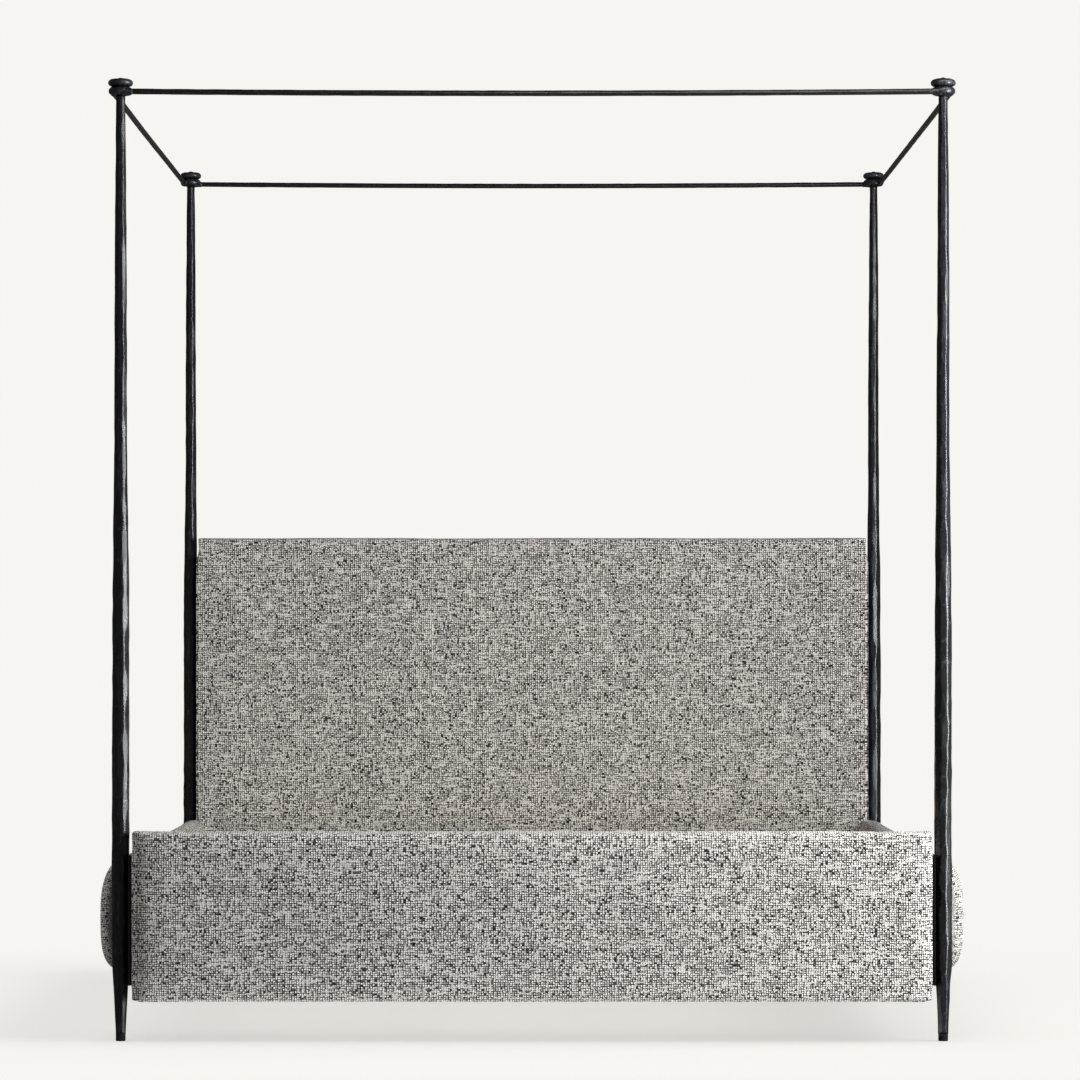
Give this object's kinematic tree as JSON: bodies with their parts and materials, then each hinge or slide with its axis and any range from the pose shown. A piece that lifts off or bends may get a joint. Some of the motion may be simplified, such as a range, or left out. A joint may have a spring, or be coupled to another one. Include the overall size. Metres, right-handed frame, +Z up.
{
  "type": "four poster canopy bed",
  "caption": "Four poster canopy bed with tapered forged posts, thin canopy bars, an upholstered headboard, footboard and bulged side rails, and a slatted deck.",
  "frame": {"origin": "on the floor, in the middle of the bed's footprint", "axes": "+Z up; +Y towards the headboard, so the footboard is at -Y; +X to the right as seen from the foot"},
  "size_m": [2.168, 2.25, 2.407],
  "materials": {
    "blackened_iron": "hand-hammered forged iron, blackened and waxed",
    "tweed": "nubby basket weave of off-white and black yarns",
    "timber": "planed softwood and plywood, unfinished",
    "slat_timber": "planed pine with eased edges, clear oiled",
    "dark_steel": "black powder coat",
    "black_nylon": "moulded nylon",
    "webbing": "woven cotton tape"
  },
  "bodies": {
    "root": {"front_left_post": "blackened_iron", "front_right_post": "blackened_iron", "rear_left_post": "blackened_iron", "rear_right_post": "blackened_iron", "front_left_foot_cap": "black_nylon", "front_right_foot_cap": "black_nylon", "rear_left_foot_cap": "black_nylon", "rear_right_foot_cap": "black_nylon", "front_left_corner_ring": "blackened_iron", "front_right_corner_ring": "blackened_iron", "rear_left_corner_ring": "blackened_iron", "rear_right_corner_ring": "blackened_iron", "front_left_finial": "blackened_iron", "front_right_finial": "blackened_iron", "rear_left_finial": "blackened_iron", "rear_right_finial": "blackened_iron", "front_canopy_bar": "blackened_iron", "rear_canopy_bar": "blackened_iron", "left_canopy_bar": "blackened_iron", "right_canopy_bar": "blackened_iron", "front_left_post_plate": "blackened_iron", "front_right_post_plate": "blackened_iron", "rear_left_post_plate": "blackened_iron", "rear_right_post_plate": "blackened_iron", "headboard_left_stile": "timber", "headboard_right_stile": "timber", "headboard_middle_stile": "timber", "headboard_top_rail": "timber", "headboard_bottom_rail": "timber", "headboard_front_skin": "timber", "headboard_back_skin": "timber", "headboard_upholstery": "tweed", "footboard_left_stile": "timber", "footboard_right_stile": "timber", "footboard_middle_stile": "timber", "footboard_top_rail": "timber", "footboard_bottom_rail": "timber", "footboard_front_skin": "timber", "footboard_back_skin": "timber", "footboard_upholstery": "tweed", "left_rail_board": "timber", "right_rail_board": "timber", "left_rail_upholstery": "tweed", "right_rail_upholstery": "tweed", "corner_brackets": "dark_steel", "frame_bolts": "dark_steel", "left_slat_ledge": "dark_steel", "right_slat_ledge": "dark_steel", "centre_beam": "dark_steel", "beam_hangers": "dark_steel", "deck_screws": "dark_steel", "centre_support_leg": "dark_steel", "slats": "slat_timber", "slat_straps": "webbing"},
    "centre_foot": {"centre_levelling_foot": "dark_steel"}
  },
  "joints": [
    {"name": "centre_foot_screw", "type": "slide", "parent": "root", "child": "centre_foot", "axis": [0, 0, 1], "range_m": [-0.02, 0]}
  ]
}
